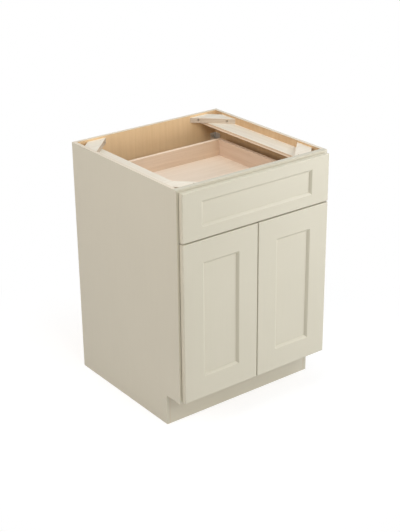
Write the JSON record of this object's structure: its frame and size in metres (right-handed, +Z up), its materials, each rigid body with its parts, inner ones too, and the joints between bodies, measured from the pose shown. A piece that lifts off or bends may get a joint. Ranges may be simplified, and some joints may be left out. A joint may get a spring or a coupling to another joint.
{
  "type": "kitchen base cabinet",
  "caption": "Framed kitchen base cabinet, cream painted, with a shaker drawer over a pair of shaker doors, an open top with corner blocks for a worktop and a recessed toe kick.",
  "frame": {"origin": "centre of the footprint on the floor, doors closed", "axes": "+X to the right as seen from the front, +Y towards the wall, +Z up"},
  "size_m": [0.63, 0.6306, 0.8763],
  "materials": {
    "cream_paint": "satin cream paint on wood",
    "natural_ply": "clear-lacquered maple plywood",
    "pale_wood": "planed pale hardwood",
    "drawer_wood": "clear-lacquered beech",
    "zinc_steel": "zinc-plated sheet steel",
    "nickel_steel": "nickel-plated steel",
    "screw_steel": "zinc-plated screws",
    "soft_bumper": "clear soft bumper"
  },
  "bodies": {
    "cabinet": {"left_side_panel": "cream_paint", "right_side_panel": "cream_paint", "toe_kick_board": "cream_paint", "left_frame_stile": "cream_paint", "right_frame_stile": "cream_paint", "frame_top_rail": "cream_paint", "frame_middle_rail": "cream_paint", "frame_bottom_rail": "cream_paint", "back_panel": "natural_ply", "cabinet_floor": "natural_ply", "shelf": "natural_ply", "front_left_corner_block": "pale_wood", "front_right_corner_block": "pale_wood", "rear_left_corner_block": "pale_wood", "rear_right_corner_block": "pale_wood", "left_drawer_kicker": "pale_wood", "right_drawer_kicker": "pale_wood", "left_slide_outer_rail": "zinc_steel", "right_slide_outer_rail": "zinc_steel", "slide_rear_brackets": "zinc_steel", "hinge_arms": "nickel_steel", "hinge_pins": "nickel_steel", "shelf_pins": "nickel_steel", "corner_block_screws": "screw_steel", "slide_screws": "screw_steel", "hinge_arm_screws": "screw_steel"},
    "drawer": {"drawer_front_left_stile": "cream_paint", "drawer_front_right_stile": "cream_paint", "drawer_front_top_rail": "cream_paint", "drawer_front_bottom_rail": "cream_paint", "drawer_front_panel": "cream_paint", "drawer_left_side": "drawer_wood", "drawer_right_side": "drawer_wood", "drawer_back": "drawer_wood", "drawer_box_front": "drawer_wood", "drawer_bottom": "drawer_wood", "left_slide_inner_rail": "zinc_steel", "right_slide_inner_rail": "zinc_steel", "drawer_slide_screws": "screw_steel", "drawer_front_screws": "screw_steel", "drawer_bumpers": "soft_bumper"},
    "slide_middles": {"left_slide_middle_rail": "zinc_steel", "right_slide_middle_rail": "zinc_steel"},
    "left_door": {"left_door_hinge_stile": "cream_paint", "left_door_meeting_stile": "cream_paint", "left_door_top_rail": "cream_paint", "left_door_bottom_rail": "cream_paint", "left_door_panel": "cream_paint", "left_door_hinge_cups": "nickel_steel", "left_door_cup_screws": "screw_steel", "left_door_bumpers": "soft_bumper"},
    "right_door": {"right_door_hinge_stile": "cream_paint", "right_door_meeting_stile": "cream_paint", "right_door_top_rail": "cream_paint", "right_door_bottom_rail": "cream_paint", "right_door_panel": "cream_paint", "right_door_hinge_cups": "nickel_steel", "right_door_cup_screws": "screw_steel", "right_door_bumpers": "soft_bumper"}
  },
  "joints": [
    {"name": "drawer_slide", "type": "slide", "parent": "cabinet", "child": "drawer", "axis": [0, -1, 0], "range_m": [0, 0.5]},
    {"name": "slide_middle", "type": "slide", "parent": "cabinet", "child": "slide_middles", "axis": [0, -1, 0], "range_m": [0, 0.25]},
    {"name": "left_door_swing", "type": "hinge", "parent": "cabinet", "child": "left_door", "pos_m": [-0.3005, -0.3053, 0.409], "axis": [0, 0, -1], "range_deg": [0, 105]},
    {"name": "right_door_swing", "type": "hinge", "parent": "cabinet", "child": "right_door", "pos_m": [0.3005, -0.3053, 0.409], "axis": [0, 0, 1], "range_deg": [0, 105]}
  ],
  "couplings": [
    {"joint": "slide_middle", "follows": "drawer_slide", "ratio": 0.5}
  ]
}
